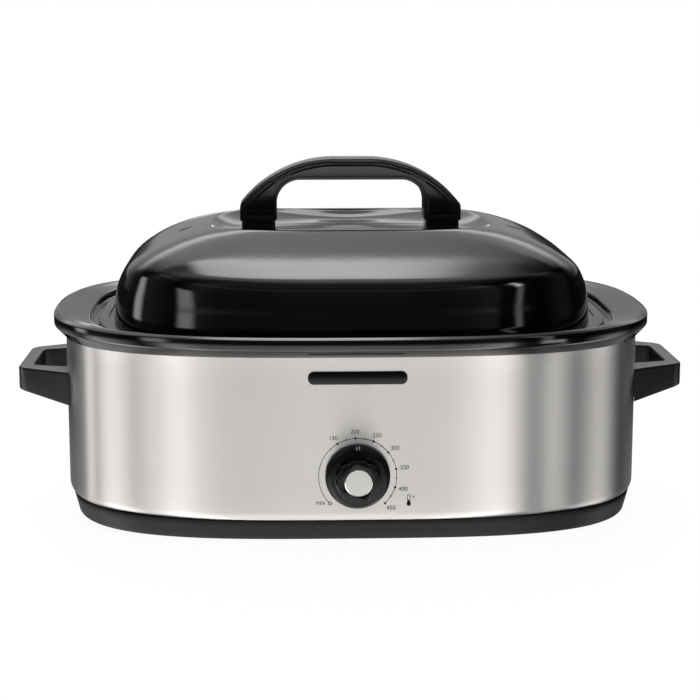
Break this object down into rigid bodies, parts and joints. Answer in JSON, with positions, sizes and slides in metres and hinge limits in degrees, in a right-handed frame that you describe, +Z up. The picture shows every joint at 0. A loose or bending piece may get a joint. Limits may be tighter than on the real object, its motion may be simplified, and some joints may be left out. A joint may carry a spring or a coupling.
{
  "type": "roaster oven",
  "caption": "Countertop electric roaster: heated well in a steel wrap on a footed base, lift-out pan and rack, lift-off domed lid with arched handle, side handles, heat knob.",
  "frame": {"origin": "under the middle of the body, on the plane of the feet", "axes": "+Z up; the front with the knob faces -Y; the carrying handles face -X and +X"},
  "size_m": [0.628, 0.429, 0.325],
  "materials": {
    "enamel": "gloss porcelain enamel",
    "stainless": "satin, grain upright",
    "phenolic": "moulded, fine satin",
    "cap_metal": "spun, grey",
    "foot_rubber": "moulded, dull",
    "zinc_steel": "zinc plated",
    "wire_chrome": "plated wire",
    "bush_brass": "turned",
    "blanket_fibre": "matted glass fibre",
    "housing_plastic": "moulded, pale",
    "lead_sleeve": "braided glass sleeve"
  },
  "bodies": {
    "base": {"base_ring": "phenolic", "base_screws": "zinc_steel", "bottom_plate": "zinc_steel", "cord_gland": "foot_rubber", "foot_front_left": "foot_rubber", "foot_front_right": "foot_rubber", "foot_rear_left": "foot_rubber", "foot_rear_right": "foot_rubber", "fuse_clip": "zinc_steel", "heater_band": "zinc_steel", "insulation_blanket": "blanket_fibre", "lead_fuse_to_band": "lead_sleeve", "lead_terminal_to_fuse": "lead_sleeve", "lead_terminal_to_thermostat": "lead_sleeve", "lead_thermostat_to_band": "lead_sleeve", "outer_wrap": "stainless", "side_handle_left": "phenolic", "side_handle_right": "phenolic", "side_handle_screws_left": "zinc_steel", "side_handle_screws_right": "zinc_steel", "terminal_block": "housing_plastic", "thermal_fuse": "housing_plastic", "thermostat_body": "housing_plastic", "thermostat_bracket": "zinc_steel", "thermostat_bush": "bush_brass", "thermostat_nut": "bush_brass", "well_liner": "enamel", "well_stud_nuts": "zinc_steel", "well_studs": "zinc_steel"},
    "pan": {"roasting_pan": "enamel"},
    "lid": {"lid_shell": "enamel", "lid_panel": "enamel", "lid_handle": "phenolic", "lid_handle_spacer_left": "phenolic", "lid_handle_spacer_right": "phenolic", "lid_handle_screws": "zinc_steel", "lid_handle_washers": "zinc_steel"},
    "rack": {"roasting_rack": "wire_chrome"},
    "knob": {"control_knob": "phenolic", "knob_cap": "cap_metal", "thermostat_shaft": "zinc_steel"}
  },
  "joints": [
    {"name": "pan_lift", "type": "slide", "parent": "base", "child": "pan", "axis": [0, 0, 1], "range_m": [0, 0.2]},
    {"name": "lid_lift", "type": "slide", "parent": "pan", "child": "lid", "axis": [0, 0, 1], "range_m": [0, 0.2]},
    {"name": "rack_lift", "type": "slide", "parent": "pan", "child": "rack", "axis": [0, 0, 1], "range_m": [0, 0.08]},
    {"name": "knob_turn", "type": "hinge", "parent": "base", "child": "knob", "pos_m": [0, -0.2, 0.061], "axis": [0, 1, 0], "range_deg": [-131.6, 138.4]}
  ]
}
